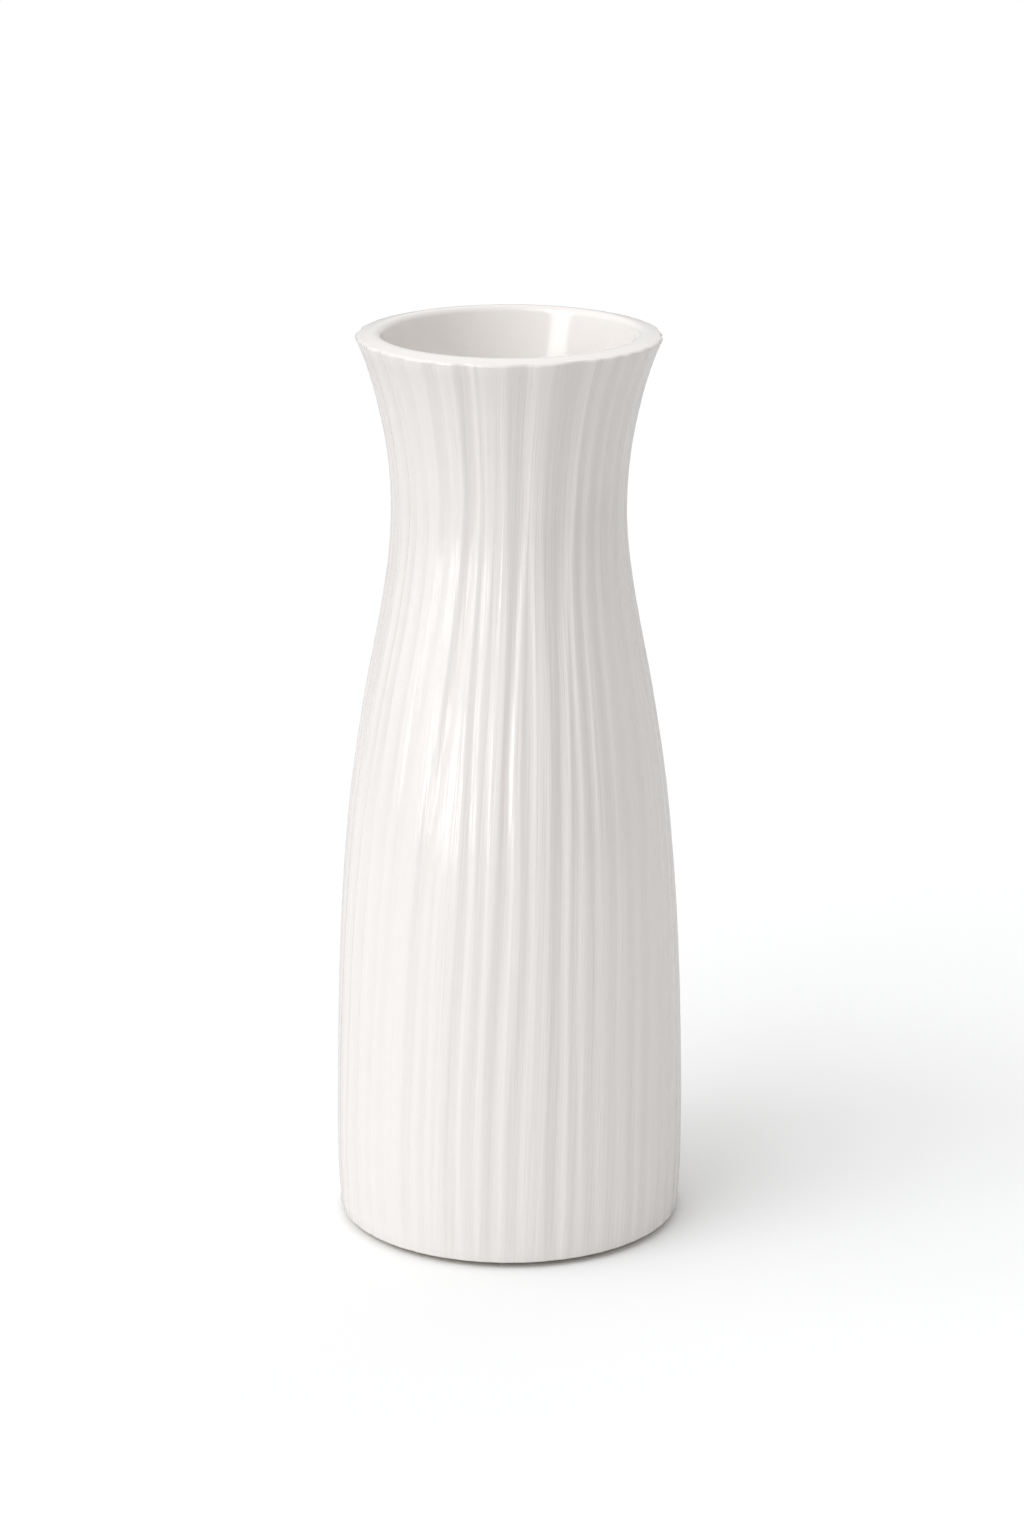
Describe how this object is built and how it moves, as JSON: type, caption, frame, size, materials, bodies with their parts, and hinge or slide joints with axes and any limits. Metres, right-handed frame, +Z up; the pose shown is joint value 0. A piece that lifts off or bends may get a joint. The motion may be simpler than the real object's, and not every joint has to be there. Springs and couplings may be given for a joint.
{
  "type": "bud vase",
  "caption": "Slender bud vase with a long tapering belly, narrow waist and flared rounded lip, in white gloss glaze over fluted stoneware.",
  "frame": {"origin": "on the standing plane, under the vase's axis, at the undersides of the felt pads", "axes": "+Z up along the vase's axis, -Y is the front, +X to the right seen from the front"},
  "size_m": [0.0688, 0.0688, 0.178],
  "materials": {
    "stoneware": "bare, fine-grained and matt",
    "white_glaze": "warm white, gloss",
    "felt": "pressed felt"
  },
  "bodies": {
    "root": {"clay_body": "stoneware", "glaze_coat": "white_glaze", "underside_glaze": "white_glaze", "foot_pad_1": "felt", "foot_pad_2": "felt", "foot_pad_3": "felt", "foot_pad_4": "felt"}
  },
  "joints": []
}
